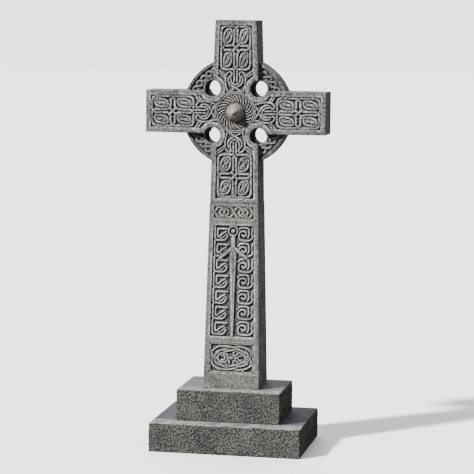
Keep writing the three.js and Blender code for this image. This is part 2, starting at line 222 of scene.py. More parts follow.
carvedLook = {
    "dark": (0.088, 0.089, 0.083), "light": (0.150, 0.151, 0.141), "patch": 22,
    "tint": (0.125, 0.119, 0.108), "tintAmount": 0.4,
    "speckle": 185, "speckleLow": 0.38, "speckleHigh": 1.54, "edge": (0.38, 0.62),
    "grain": 420, "grainLow": 0.62, "grainHigh": 1.32,
    # pockets darkened with dirt and painted shade, strands lightened with wear and a painted highlight
    "dirtAndPaintedShade": 0.29, "wearAndPaintedHighlight": 2.35, "bump": 0.9,
}
headLook = dict(carvedLook, tint=(0.128, 0.118, 0.114), dark=(0.086, 0.085, 0.082), light=(0.150, 0.149, 0.145),
                boss=(1.06, 1.02, 0.94), bossAt=(0, -0.0605, 0.945), bossFrom=0.026, bossTo=0.034)
shaftLook = dict(carvedLook, speckleLow=0.55, speckleHigh=1.38)
stepLook = {
    "dark": (0.022, 0.023, 0.021), "light": (0.041, 0.042, 0.038), "patch": 14,
    "tint": (0.042, 0.040, 0.034), "tintAmount": 0.4,
    "speckle": 268, "speckleLow": 0.02, "speckleHigh": 3.3, "edge": (0.44, 0.56),
    "grain": 600, "grainLow": 0.5, "grainHigh": 1.45,
    # the top's bluish tone is a painted sky reflection
    "top": (0.128, 0.133, 0.139), "topDark": (0.034, 0.039, 0.045), "topPatch": 60, "bump": 0.9,
    # pale dust and painted light along the front edge of the ledge
    "dustAndLight": (0.182, 0.176, 0.160), "dustAndLightSpan": (-0.110, -0.050), "dustAndLightPatch": 26,
}
lowerStepLook = dict(stepLook, patch=12, speckle=257.6, speckleHigh=3.5, top=(0.048, 0.054, 0.066),
                     topDark=(0.018, 0.023, 0.031), dustAndLightSpan=(-0.165, -0.085))
headStone = stoneFinish("weatheredHeadStone", headLook)
shaftStone = stoneFinish("weatheredShaftStone", shaftLook)
upperStepStone = stoneFinish("hammeredUpperStep", stepLook)
lowerStepStone = stoneFinish("hammeredLowerStep", lowerStepLook)
print("stone finishes made")


# Catmull-Rom curve: a cubic for each span, whose end slopes are half the chord of its neighbours
def curveThrough(points, closed=False, perSpan=6):
    p = np.asarray(points, float)
    p = np.vstack([p[-1], p, p[:2]]) if closed else np.vstack([2 * p[0] - p[1], p, 2 * p[-1] - p[-2]])
    t = np.linspace(0, 1, perSpan, endpoint=False)[:, None]
    a, b, c, d = (p[k:len(p) - 3 + k, None] for k in range(4))
    square, cube = 2 * a - 5 * b + 4 * c - d, 3 * b - a - 3 * c + d
    curve = 0.5 * (2 * b + (c - a) * t + square * t ** 2 + cube * t ** 3)
    return np.vstack([curve.reshape(-1, 2), p[1] if closed else p[-2]])


# straight spans cut into equal lengths of at most 3 mm, and the width along them
def straightThrough(points, width, closed):
    line = np.asarray(points, float)
    line = np.vstack([line, line[0]]) if closed else line
    counts = np.maximum(1, np.ceil(np.hypot(*np.diff(line, axis=0).T) / 3)).astype(int)
    at = np.concatenate([k + np.arange(n) / n for k, n in enumerate(counts)] + [[len(counts)]])
    whole = np.arange(len(line))
    width = np.interp(at, whole, np.broadcast_to(np.asarray(width, float), len(line)))
    return np.stack([np.interp(at, whole, line[:, 0]), np.interp(at, whole, line[:, 1])], 1), width


# a strand: its middle line, half its width at each point of it, and its level, 1 over and -1 under
def strand(points, width, closed=False, curved=True, split=0.0, perSpan=6):
    if curved:
        line = curveThrough(points, closed, perSpan)
    else:
        line, width = straightThrough(points, width, closed)
    return {"line": line, "half": np.broadcast_to(np.asarray(width, float) / 2, len(line)).copy(),
            "closed": closed, "split": split, "level": np.zeros(len(line))}


# cross product of flat vectors: ax bz - az bx
def cross2(a, b):
    return a[..., 0] * b[..., 1] - a[..., 1] * b[..., 0]


# where two lines cross: p + t r = q + u s, solved for every pair of spans at once
def crossingsOf(first, second, same):
    p, r = first[:-1, None], np.diff(first, axis=0)[:, None]
    q, s = second[None, :-1], np.diff(second, axis=0)[None]
    den = cross2(r, s)
    den = np.where(np.abs(den) < 1e-9, 1e-9, den)
    t, u = cross2(q - p, s) / den, cross2(q - p, r) / den
    i, j = np.nonzero((t >= 0) & (t < 1) & (u >= 0) & (u < 1))
    if same:
        keep = (j - i > 2) & (j - i < len(first) - 4)
        i, j = i[keep], j[keep]
    return list(zip(i + t[i, j], j + u[i, j]))


# over and under: each crossing is opposite to the next one along either of its strands
def weave(strands):
    owner, places = [], []
    for a in range(len(strands)):
        for b in range(a, len(strands)):
            for at, bt in crossingsOf(strands[a]["line"], strands[b]["line"], a == b):
                owner += [a, b]
                places += [at, bt]
    rows = [sorted((m for m in range(len(owner)) if owner[m] == s), key=lambda m: places[m])
            for s in range(len(strands))]
    sign = [0] * len(owner)
    for start in range(len(owner)):
        waiting = [(start, 1)]
        while waiting:
            mark, over = waiting.pop()
            if sign[mark]:
                continue
            sign[mark], sign[mark ^ 1] = over, -over
            for m, value in ((mark, over), (mark ^ 1, -over)):
                row = rows[owner[m]]
                at = row.index(m)
                waiting += [(row[k], -value) for k in (at - 1, at + 1) if 0 <= k < len(row)]
    for s, row in zip(strands, rows):
        if row:
            at = np.array([places[m] for m in row])
            value = np.array([sign[m] for m in row], float)
            turn = len(s["line"]) - 1
            if s["closed"]:
                at, value = np.concatenate([at - turn, at, at + turn]), np.tile(value, 3)
            s["level"] = np.interp(np.arange(turn + 1), at, value)
    return strands


# carving: each sample goes to the strand with the greatest (level x 8 - distance), and its height is
# rise x (1 - (distance / half width)^4)^0.45, so a strand is round-backed and parts the one below it.
# Returns the heights and where a strand or the gap beside it is
def carve(xs, zs, strands, rise, gap):
    height = np.zeros((len(xs), len(zs)))
    owner = np.full(height.shape, -1e9)
    for s in strands:
        line, half = s["line"], s["half"]
        low, high = line.min(0) - half.max() - gap, line.max(0) + half.max() + gap
        i0, i1 = np.searchsorted(xs, [low[0], high[0]])
        j0, j1 = np.searchsorted(zs, [low[1], high[1]])
        if i1 <= i0 or j1 <= j0:
            continue
        a, r = line[:-1], np.diff(line, axis=0)
        dx, dz = xs[i0:i1, None, None] - a[:, 0], zs[None, j0:j1, None] - a[:, 1]
        t = np.clip((dx * r[:, 0] + dz * r[:, 1]) / np.maximum((r ** 2).sum(1), 1e-9), 0, 1)
        apart = np.hypot(dx - t * r[:, 0], dz - t * r[:, 1])
        near = apart.argmin(2)[..., None]
        d, t = np.take_along_axis(apart, near, 2)[..., 0], np.take_along_axis(t, near, 2)[..., 0]
        along = near[..., 0] + t
        wide = np.interp(along, np.arange(len(line)), half)
        level = np.interp(along, np.arange(len(line)), s["level"])
        share = d / wide
        back = np.clip(1 - share ** 4, 0, 1) ** 0.45
        if s["split"]:                         # a line cut down the middle of the strand
            back = back - s["split"] * np.exp(-(d / 0.9) ** 2)
        value = rise * back * (0.92 + 0.08 * level)
        rank = 8 * level - d
        window = (slice(i0, i1), slice(j0, j1))
        win = (d < wide + gap) & (rank > owner[window])
        height[window] = np.where(win, value, height[window])
        owner[window] = np.where(win, rank, owner[window])
    return height, owner > -1e8


# a box with round corners: each corner's centre plus radius x (cos, sin) through a quarter turn
def roundedLoop(v, halfU, halfV, radius):
    turn = np.linspace(0, math.pi / 2, 4)
    points = []
    for k, (signU, signV) in enumerate([(1, 1), (-1, 1), (-1, -1), (1, -1)]):
        angle = turn + k * math.pi / 2
        points.append(np.stack([signU * (halfU - radius) + radius * np.cos(angle),
                                v + signV * (halfV - radius) + radius * np.sin(angle)], 1))
    return np.vstack(points)


# a circle or an oval: centre + (a cos t, b sin t)
def circleLine(u, v, radiusU, radiusV=None, count=28):
    angle = np.arange(count) * 2 * math.pi / count
    return np.stack([u + radiusU * np.cos(angle), v + (radiusV or radiusU) * np.sin(angle)], 1)


# the cross head: arms, roundel, boss and holes
head = {
    "centre": 945.0, "reach": 255.0, "face": 45.5, "arris": 2.2,
    "crossbarRoot": 61.0, "crossbarEnd": 59.0,
    "uprightRoot": 65.5, "uprightTop": 58.5, "uprightFoot": 69.0,
    "holeAt": 65.0, "holeRadius": 22.5,
    "margin": 14.0, "pocket": 5.5, "rise": 5.0, "gap": 0.6,
    "panelFrom": 114.5, "panelTo": 241.0, "panelHalf": 45.0, "footPanelHalf": 51.0,
    "strand": 7.4, "knotStrand": 6.8, "eightStrand": 7.6, "lean": 0.36, "tilt": 0.42,
    "corner": 12.0, "crossFrom": 9.0, "turnFrom": 11.0, "turnCut": 3.2, "rowGap": 4.6, "columnGap": 1.2,
    "tieStrand": 7.6, "tieReach": (9.0, 10.0), "loopStrand": 5.4, "cupStrand": 5.0, "linkStrand": 4.6,
    "roundel": 59.0, "flutes": 26, "twist": 27.0, "fluteHeight": 4.4,
    "fluteSpan": (26.0, 30.0, 47.2, 49.2, 50.0),                       # start, full, fade, gone, end of the twist
    "outerRing": (56.4, 2.1, 4.8), "innerRing": (51.4, 1.9, 4.4),      # radius, half width, height
    "bossRadius": 25.5, "bossHeight": 33.0, "bossTip": 1.8, "bossBulge": 1.12,
    "faceWear": (0.4, 0.8, 0.6, 3), "backWear": (0.5, 0.8, 0.6, 9),    # slow, coarse, fine, seed
    "wallWear": (0.5, 0.8, 0.5, 15), "wallRows": 12, "triangles": 190000,
}


# inside the cross: the larger of the half-plane distances of each bar, the smaller of the two bars,
# and the circles of the holes cut away. Negative inside.
def crossDistance(x, z, inset=0.0):
    h, root, reach = head, head["crossbarRoot"], head["reach"]
    armHalf = root + (h["crossbarEnd"] - root) * np.abs(x) / reach
    bar = np.maximum(np.abs(z) - armHalf, np.abs(x) - reach)
    up, down = (np.clip((way * z - root) / (reach - root), 0, 1) for way in (1, -1))
    half = (h["uprightRoot"] + (h["uprightTop"] - h["uprightRoot"]) * up
            + (h["uprightFoot"] - h["uprightRoot"]) * down)
    upright = np.maximum(np.abs(x) - half, np.abs(z) - reach)
    hole = np.hypot(np.abs(x) - h["holeAt"], np.abs(z) - h["holeAt"])
    return np.maximum(np.minimum(bar, upright), h["holeRadius"] - hole) + inset


# the slope of that distance, from samples 0.05 mm to each side
def outlineSlope(x, z, e=0.05):
    return ((crossDistance(x + e, z) - crossDistance(x - e, z)) / (2 * e),
            (crossDistance(x, z + e) - crossDistance(x, z - e)) / (2 * e))


# the middle of one cell: a leaning oval u = a cos(t - tilt), v = b sin t, and inside it a figure of eight
# u = a sin 2t + lean v, v = b sin t, whose two runs pass over and under where they meet
def cellKnot(u, v, halfU, halfV, over):
    h = head
    angle = np.arange(20) * 2 * math.pi / 20
    across, rise = (np.sign(a) * np.abs(a) ** 0.8 for a in (np.cos(angle - h["tilt"]), np.sin(angle)))
    oval = np.stack([across * halfU, rise * halfV], 1)
    fit = h["knotStrand"] / 2 + h["eightStrand"] / 2 + 0.2
    t = np.arange(28) * 2 * math.pi / 28
    b = halfV - fit
    a = halfU * math.cos(h["tilt"]) - fit - 0.2
    eight = np.stack([a * np.sin(2 * t) + h["lean"] * b * np.sin(t), b * np.sin(t)], 1)
    made = [strand(oval + (u, v), h["knotStrand"], closed=True, perSpan=3),
            strand(eight + (u, v), h["eightStrand"], closed=True, perSpan=3)]
    turn = np.linspace(0, 2 * math.pi, len(made[1]["line"]))
    made[1]["level"] = over * np.cos(turn) - 0.2
    return made


# one arm's panel: two bands that change sides at the middle of each edge and so make four cells with
# cut corners, and a pair of crossed ties where the cells' inner corners meet
def armPanel(halfAcross, over):
    h = head
    wide, halfAlong = h["strand"], (h["panelTo"] - h["panelFrom"]) / 2
    v0 = h["panelFrom"] + halfAlong
    edgeU, edgeV = halfAcross - wide / 2 - 0.2, halfAlong - wide / 2 - 0.2
    innerU, innerV = wide / 2 + h["columnGap"] / 2, wide / 2 + h["rowGap"] / 2
    c, near, turn, cut = h["corner"], h["crossFrom"], h["turnFrom"], h["turnCut"]
    half = np.array([
        (-edgeU, near - innerV), (-edgeU, edgeV - c), (-edgeU + 0.29 * c, edgeV - 0.29 * c), (-edgeU + c, edgeV),
        (innerU - near, edgeV), (innerU, edgeV - near), (innerU, innerV + turn), (innerU + cut, innerV + cut),
        (innerU + turn, innerV), (edgeU - near, innerV)])
    band = np.vstack([half, -half])
    bands = [strand(band * (side, 1) + (0, v0), wide, closed=True, curved=False) for side in (1, -1)]
    tieU, tieV = h["tieReach"]
    ties = [strand([(-tieU, v0 - tieV * lean), (0, v0), (tieU, v0 + tieV * lean)], h["tieStrand"], curved=False)
            for lean in (-1, 1)]
    for tie, lean in zip(ties, (-1, 1)):
        tie["level"] += 0.6 + 0.5 * lean * over
    knots, room = [], wide / 2 + h["knotStrand"] / 2 + 0.2
    for column in (-1, 1):
        for row in (-1, 1):
            knots += cellKnot(column * (edgeU + innerU) / 2, v0 + row * (edgeV + innerV) / 2,
                              (edgeU - innerU) / 2 - room, (edgeV - innerV) / 2 - room, over)
    return weave(bands) + ties + knots


# the neck between two holes: a lyre of two narrow loops, a cup inside it, a pair of bars and double links
def neckStrands():
    h = head
    loop = np.array([(-21.5, 52), (-23.5, 62), (-26.5, 73), (-28.2, 86), (-27.6, 98), (-23, 107.5), (-16, 111.6),
                     (-10.6, 107.4), (-12.6, 101.5), (-18, 96.5), (-20.4, 89.5), (-18.6, 81.5), (-12, 74.2),
                     (0, 67), (11.5, 60.5), (19, 55)])
    cup = [(-12.2, 100), (-13.4, 92), (-11, 83), (-5, 77.4), (0, 76), (5, 77.4), (11, 83), (13.4, 92), (12.2, 100)]
    made = [strand(loop, h["loopStrand"], perSpan=4), strand(loop * (-1, 1), h["loopStrand"], perSpan=4),
            strand(cup, h["cupStrand"])]
    for side in (-1, 1):
        for line, width in (([(3.9, 122), (3.9, 102), (3.9, 84)], h["loopStrand"]),
                            ([(29, 101), (49, 117)], h["linkStrand"]), ([(32, 96), (52, 111)], h["linkStrand"])):
            made.append(strand(np.array(line) * (side, 1), width, curved=False))
    return made


# roundel and boss: rings as ridges of r, flutes as cos(n (angle - twist(r))), boss as a rounded cone
def roundelHeight(r, angle):
    h = head

    def ridge(at, half, high):
        return high * np.clip(1 - np.abs((r - at) / half) ** 3, 0, 1) ** 0.6

    boss, tip = h["bossRadius"], h["bossTip"]
    start, full, fade, gone, twistEnd = h["fluteSpan"]
    share = np.clip((r - boss) / (twistEnd - boss), 0, 1)
    wave = 0.5 + 0.5 * np.cos(h["flutes"] * (angle - math.radians(h["twist"]) * share ** 1.4))
    flute = (wave ** 0.75) * easeStep(r, start, full) * (1 - easeStep(r, fade, gone))
    height = np.maximum.reduce([ridge(*h["outerRing"]), ridge(*h["innerRing"]), h["fluteHeight"] * flute])
    out = (np.hypot(r, tip) - tip) / (math.hypot(boss, tip) - tip)
    cone = h["bossHeight"] * (1 - out ** h["bossBulge"])
    return np.maximum(height, np.where(r < boss + 3, cone + h["pocket"], 0))


# depth of the head's carving: the pocket's depth less the height of the strand, roundel or boss there
def headRelief(xs, zs):
    h, made = head, []
    for quarter, (cos, sin) in enumerate([(1, 0), (0, 1), (-1, 0), (0, -1)]):
        turn = np.array([(cos, -sin), (sin, cos)])
        over = 1 - 2 * (quarter % 2)           # the strands that rise to the right as seen pass over
        panel = armPanel(h["footPanelHalf"] if quarter == 2 else h["panelHalf"], over)
        made += [dict(s, line=s["line"] @ turn) for s in panel + weave(neckStrands())]
    strands = carve(xs, zs, made, h["rise"], h["gap"])[0]
    x, z = np.meshgrid(xs, zs, indexing="ij")
    r, angle = np.hypot(x, z), np.arctan2(z, x)
    strands = np.where(r < h["roundel"], roundelHeight(r, angle), strands)
    inside = easeStep(-crossDistance(x, z, h["margin"]), 0, 1.6)
    depth = np.minimum(h["pocket"] * inside, h["pocket"] - strands)
    return np.where(inside > 0, depth, 0)      # below the face; negative where the boss stands proud


# a closed slab from a grid: cells whose middle is inside are kept, the rim's corners are moved onto
# the outline along its slope, and a wall of rows joins the front's rim to the back's
def crossSlab():
    h, reach, face = head, head["reach"], head["face"]
    count = int(round(2 * reach / step))
    xs = np.linspace(-reach, reach, count + 1)
    depth = headRelief(xs, xs)
    x, z = np.meshgrid(xs, xs, indexing="ij")
    middle = (xs[1:] + xs[:-1]) / 2
    kept = crossDistance(*np.meshgrid(middle, middle, indexing="ij")) < -0.1 * step
    around = np.zeros((count + 1, count + 1), int)
    for i, j in ((0, 0), (1, 0), (0, 1), (1, 1)):
        around[i:i + count, j:j + count] += kept
    used, rim = around > 0, (around > 0) & (around < 4)
    for _ in range(3):                         # move the rim onto the outline
        gap, (gx, gz) = crossDistance(x, z), outlineSlope(x, z)
        x, z = np.where(rim, x - gap * gx, x), np.where(rim, z - gap * gz, z)
    x, z = np.clip(x, -reach, reach), np.clip(z, -reach, reach)
    inward = np.clip(-crossDistance(x, z), 0, None)
    inward[rim] = 0
    drop = h["arris"] - np.sqrt(np.maximum(h["arris"] ** 2 - np.clip(h["arris"] - inward, 0, None) ** 2, 0))

    # dirt and painted shade on the head's front: darker in the pockets, lighter on the strands
    dirtAndPaintedShade = pocketShade(depth, np.clip(depth, 0, None), h["pocket"])
    place = np.full(used.shape, -1)
    place[used] = np.arange(used.sum())
    fx, fz = x[used], z[used]
    flat = np.stack([fx, np.zeros(len(fx)), fz], 1)
    worn, wornBack = np.abs(wear(flat, *h["faceWear"])), np.abs(wear(flat + [0, 90, 0], *h["backWear"]))
    front = np.stack([fx, -face + depth[used] + drop[used] + worn * 0.8, fz], 1)
    back = np.stack([fx, face - drop[used] - wornBack, fz], 1)

    rimPlace = place[rim]
    rx, rz = x[rim], z[rim]
    outX, outZ = outlineSlope(rx, rz)
    rows = np.linspace(-face + h["arris"], face - h["arris"], h["wallRows"])[1:-1]
    walls = []
    for y in rows:
        ring = np.stack([rx, np.full(len(rx), y), rz], 1)
        inset = np.abs(wear(ring, *h["wallWear"]))
        walls.append(ring - np.stack([outX, 0 * outX, outZ], 1) * inset[:, None])
    rimIndex = np.full(used.shape, -1)
    rimIndex[rim] = np.arange(len(rimPlace))
    walled = 2 * len(front) + np.arange(len(rimPlace))
    layers = [rimPlace, *[walled + k * len(rimPlace) for k in range(len(rows))], rimPlace + len(front)]

    i, j = np.nonzero(kept)
    a, b, c, d = place[i, j], place[i + 1, j], place[i + 1, j + 1], place[i, j + 1]
    quads = [np.stack([a, b, c, d], 1), np.stack([a, d, c, b], 1) + len(front)]
    edges = []
    padded = np.pad(kept, 1)
    for (di, dj), (p, q) in {(0, -1): ((0, 0), (1, 0)), (1, 0): ((1, 0), (1, 1)),
                             (0, 1): ((1, 1), (0, 1)), (-1, 0): ((0, 1), (0, 0))}.items():
        i, j = np.nonzero(kept & ~padded[1 + di:1 + di + count, 1 + dj:1 + dj + count])
        edges.append(np.stack([rimIndex[i + p[0], j + p[1]], rimIndex[i + q[0], j + q[1]]], 1))
    edges = np.vstack(edges)
    for near, far in zip(layers, layers[1:]):
        quads.append(np.stack([near[edges[:, 1]], near[edges[:, 0]], far[edges[:, 0]], far[edges[:, 1]]], 1))
    points = np.vstack([front, back, *walls]) + [0, 0, h["centre"]]
    shade = np.concatenate([dirtAndPaintedShade[used], np.full(len(points) - len(front), plainShade)])
    side = np.hypot(np.abs(points[:, 0]) - h["holeAt"], np.abs(points[:, 2] - h["centre"]) - h["holeAt"])
    shade[len(front):][side[len(front):] < h["holeRadius"] + 2.5] = holePaintedShade      # painted shade inside the holes
    return points, np.vstack(quads), shade


points, quads, shade = crossSlab()
crossBody = putPiece("crossBody", points, quads, "cross_head", headStone, dirtAndPaintedShade=shade)
thin = crossBody.modifiers.new("thin", "DECIMATE")
thin.ratio = min(1.0, head["triangles"] / (2 * len(quads)))
shaped = bpy.data.meshes.new_from_object(crossBody.evaluated_get(bpy.context.evaluated_depsgraph_get()))
crossBody.modifiers.clear()
crossBody.data = shaped
print("cross body thinned to", len(shaped.polygons), "faces")


# the ring between the arms
ring = {
    "radius": 152.5, "face": 32.0, "rim": 6.8, "rimRise": 3.0, "groove": 2.4, "grooveHalf": 1.2, "innerRim": 6.5,
    "from": 20.0, "to": 70.0, "bandMiddle": 129.5, "bandFrom": 66.0, "bandSpan": 87.0, "edge": 2.0, "pocket": 3.6,
    "strand": 7.2, "swing": 8.0, "halfWave": 19.0, "rise": 4.4, "gap": 0.8,
    "wear": (0.4, 0.3, 0.2), "seed": 40, "arcLength": 133.0, "faceWidth": 60.0, "sideRows": 24, "backRows": 16,
}


# ring carving on a strip of arc length and radius: two waves in opposite phase, woven
def ringBand(arc, radius):
    g = ring
    length = np.linspace(arc[0] - 5, arc[-1] + 5, 90)
    wave = g["swing"] * np.cos((length - (arc[0] + arc[-1]) / 2) * math.pi / g["halfWave"])
    lines = [strand(np.stack([length, g["bandMiddle"] + side * wave], 1), g["strand"], curved=False)
             for side in (-1, 1)]
    return carve(arc, radius, weave(lines), g["rise"], g["gap"])[0]


# one quarter: a section of front, outer edge, back and inner edge, carried along the arc. The inner
# edge follows the hole: r = c cos(a) + sqrt(R^2 - c^2 sin^2 a) from the hole's middle line
def ringQuarter(quarter):
    g, h = ring, head
    turn = np.radians(np.linspace(g["from"], g["to"], int(g["arcLength"] / step) + 1))
    off = turn - math.pi / 4
    holeCentre = math.hypot(h["holeAt"], h["holeAt"])
    inside = np.maximum(h["holeRadius"] ** 2 - (holeCentre * np.sin(off)) ** 2, 0)
    inner = (holeCentre * np.cos(off) + np.sqrt(inside))[:, None]
    edge, face, outer = g["edge"], g["face"], g["radius"]
    rimFrom = outer - g["rim"]
    r = inner + edge + (outer - 2 * edge - inner) * np.linspace(0, 1, int(g["faceWidth"] / step) + 1)

    fineRadius = np.linspace(g["bandFrom"], outer, int(g["bandSpan"] / step) + 1)
    band = ringBand(turn * g["bandMiddle"], fineRadius)
    column = (r - g["bandFrom"]) / g["bandSpan"] * (len(fineRadius) - 1)
    low = np.clip(column.astype(int), 0, len(fineRadius) - 2)
    rows = np.arange(len(turn))[:, None]
    carved = band[rows, low] + (band[rows, low + 1] - band[rows, low]) * (column - low)
    rim = g["rimRise"] * easeStep(r, rimFrom - 1.2, rimFrom)
    pocket = g["pocket"] * easeStep(r, inner + g["innerRim"], inner + g["innerRim"] + 1.5) * (rim <= 0)
    groove = g["groove"] * np.exp(-((r - outer + g["rim"] / 2) / g["grooveHalf"]) ** 2)
    front = face + rim - pocket - groove + np.where(rim <= 0, np.minimum(carved, pocket + 0.6), 0)

    bend = np.linspace(0, math.pi / 2, 4)[1:]
    rimTop = face + g["rimRise"]
    roundR, drop = outer - edge + edge * np.sin(bend), edge - edge * np.cos(bend)
    outR = np.concatenate([roundR, np.full(g["sideRows"], outer), roundR[::-1]])
    sideY = np.linspace(-rimTop + edge, face - edge, g["sideRows"] + 2)[1:-1]
    outY = np.concatenate([drop - rimTop, sideY, (face - drop)[::-1]])
    backR = inner + edge + (outer - 2 * edge - inner) * np.linspace(1, 0, g["backRows"])
    inY = np.linspace(face - edge, -face + edge, g["sideRows"])
    ones = np.ones((len(turn), 1))
    radius = np.hstack([r, ones * outR, backR, inner * np.ones(len(inY))])
    y = np.hstack([-front, ones * outY, np.full(backR.shape, face), ones * inY])
    angle = turn[:, None] * np.ones(radius.shape)
    spot = np.stack([radius.ravel() * angle.ravel(), y.ravel(), radius.ravel()], 1)
    rough = np.abs(wear(spot, *g["wear"], g["seed"] + quarter)).reshape(y.shape)
    y = y - np.sign(y) * rough * 0.8

    dirtAndPaintedShade = np.full(radius.shape, plainShade)
    dirtAndPaintedShade[:, -g["sideRows"]:] = holePaintedShade     # painted shade inside the holes
    # dirt and painted shade on the ring's face, darker where it is sunk
    sunk = face + rim + 0.4 * (rim <= 0) - front
    dirtAndPaintedShade[:, :r.shape[1]] = np.clip(0.19 + 0.15 * sunk, 0.05, 1)
    signX, signZ = [(1, 1), (-1, 1), (-1, -1), (1, -1)][quarter]
    points = np.stack([signX * radius * np.cos(angle), y, signZ * radius * np.sin(angle) + h["centre"]], -1)
    quads, caps = tubeFaces(radius.shape[1], len(turn))
    if signX * signZ < 0:
        quads, caps = quads[:, ::-1], [c[::-1] for c in caps]
    return points.swapaxes(0, 1).reshape(-1, 3), quads, caps, dirtAndPaintedShade.T.ravel()


points, quads, caps, shade = zip(*[ringQuarter(q) for q in range(4)])
offsets = np.cumsum([0] + [len(p) for p in points[:-1]])
putPiece("crossRing", np.vstack(points), np.vstack([q + o for q, o in zip(quads, offsets)]),
         "cross_head", headStone,
         caps=[c + o for two, o in zip(caps, offsets) for c in two], dirtAndPaintedShade=np.concatenate(shade))


# the shaft with its three carved panels
shaft = {
    "foot": 170.0, "height": 520.0, "footWidth": 161.0, "topWidth": 139.5, "footDepth": 128.0, "topDepth": 96.0,
    "margin": 14.0, "pocket": 5.4, "rise": 5.0, "gap": 0.7, "arris": 2.0,
    "knotPanel": (43, 129), "swordPanel": (146, 459), "smallPanel": (476, 515),
    "sideColumns": 18, "backColumns": 20, "columnStep": 1.04, "rowStep": 1.1, "wear": (0.5, 0.8, 0.6, 21),
    "spirals": 7, "hookAt": -34.5, "curlAt": 34.0,
    "hookStrand": 6.2, "keyStrand": 5.8, "barStrand": 3.6, "curlStrand": 6.0, "tailStrand": 5.2,
}
sword = {
    "pommelDrop": 15.5, "pommelRadius": 13.4, "pommelStrand": 5.6, "disc": 12.5, "grip": 13.0,
    "guardDrop": 62.0, "guard": 9.5, "guardLine": 0.16, "blade": (18, 22.5, 22.5, 16, 11.5, 8), "bladeLine": 0.14,
    "proud": 0.2, "gap": 1.6,
}
smallPanel = {
    "reach": 60.0, "inset": 4.2, "waveStrand": 6.4, "ringAt": 29.0, "ringSize": (13.0, 11.0), "ringStrand": 6.2,
    "edgeOut": 2.2, "edgeStrand": 4.4, "share": 0.7, "lift": 1.6,
}
knotPanel = {
    "borderIn": 3.0, "border": 4.8, "ovals": ((55, 30, 17), (46, 21.5, 12)), "ovalStrand": 6.0,
    "ringAt": 23.0, "ringSize": (14.0, 13.0), "ringStrand": 5.8, "hookAt": 24.0, "hookRadius": 6.5, "hookStrand": 5.0,
    "cornerStrand": 5.4, "legStrand": 6.2, "barStrand": 7.5, "barLine": 0.3,
}
shaft["midWidth"] = (shaft["footWidth"] + shaft["topWidth"]) / 2
shaft["panelHalf"] = shaft["midWidth"] / 2 - shaft["margin"]


# the sword from the top: ring pommel with a disc in it, grip, drooping guard, and a blade that tapers
def swordStrands():
    w, (foot, top) = sword, shaft["swordPanel"]
    pommel, guard = top - w["pommelDrop"], top - w["guardDrop"]
    drooping = [(-38, -30), (-18, -14), (-5, -2.5), (0, -1), (5, -2.5), (18, -13), (38, -28)]
    blade = [(0, guard - 4), (0, guard - 14), (0, guard - 36), (0, 300), (0, 220), (0, foot - 4)]
    return [
        strand(circleLine(-1, pommel, w["pommelRadius"], count=16), w["pommelStrand"], closed=True, perSpan=3),
        strand([(-1.5, pommel), (-0.5, pommel)], w["disc"], curved=False),
        strand([(-0.5, pommel - 17), (0, pommel - 34), (0, guard)], w["grip"], curved=False),
        strand(np.array(drooping) + (0, guard), w["guard"], split=w["guardLine"]),
        strand(blade, w["blade"], curved=False, split=w["bladeLine"]),
    ]


# left: square hooks with a slanting bar in each; right: curls that hook back to the panel's edge.
# Each is drawn once round its own middle and set down at every row
def spiralStrands():
    t = shaft
    hook = [(-20.5, 22), (-20.5, 4), (-20.5, -10), (-18, -16.5), (-11, -18), (6, -17.5), (13, -13), (17, -5)]
    key = [(19, 13.5), (4, 14), (-9.5, 14), (-12.2, 11.5), (-12.5, -3), (-11, -8.5), (-5, -6), (4, 1.5), (13, 6.5)]
    bar = [(-4, -12.5), (4, -10), (10, -4), (16, 1)]
    curl = [(23.5, -5), (19.5, -13), (10, -17.5), (-6, -17.5), (-15, -14), (-17.5, -4), (-14.5, 5), (-6, 9),
            (2.5, 6), (3.5, -2), (-3, -5.5), (-8, -2)]
    seven = [(-19, 11), (-12, 17.5), (0, 18.2), (9.5, 16.5), (12, 9), (12, -2), (9, -9)]
    tail = [(20.5, -2), (21.5, 10), (24, 20)]
    low, high = t["swordPanel"]
    pitch = (high - low - 4) / t["spirals"]
    made = []
    for row in range(t["spirals"]):
        z = low + 2 + pitch * (row + 0.5)
        for line, x, width in ((hook, t["hookAt"], t["hookStrand"]), (key, t["hookAt"], t["keyStrand"]),
                               (bar, t["hookAt"], t["barStrand"]), (curl, t["curlAt"], t["curlStrand"]),
                               (seven, t["curlAt"], t["curlStrand"]), (tail, t["curlAt"], t["tailStrand"])):
            made.append(strand(np.array(line) + (x, z), width))
    return made


# two waves in opposite phase, z = +-a sin(pi x / ring spacing), woven with two rings, and a line along each edge
def smallPanelStrands():
    n, (low, high) = smallPanel, shaft["smallPanel"]
    z, half, at = (low + high) / 2, (high - low) / 2 - n["inset"], n["ringAt"]
    x = np.linspace(-n["reach"], n["reach"], 60)
    ends = np.array([(-n["reach"], 0), (n["reach"], 0)])
    waves, rings, edges = [], [], []
    for side in (-1, 1):
        wave = np.stack([x, z + side * half * np.sin(x * math.pi / at)], 1)
        waves.append(strand(wave, n["waveStrand"], curved=False))
        rings.append(strand(circleLine(side * at, z, *n["ringSize"], 20), n["ringStrand"], closed=True, perSpan=3))
        edges.append(strand(ends + (0, z + side * (half + n["edgeOut"])), n["edgeStrand"], curved=False))
    return weave(waves + rings) + edges


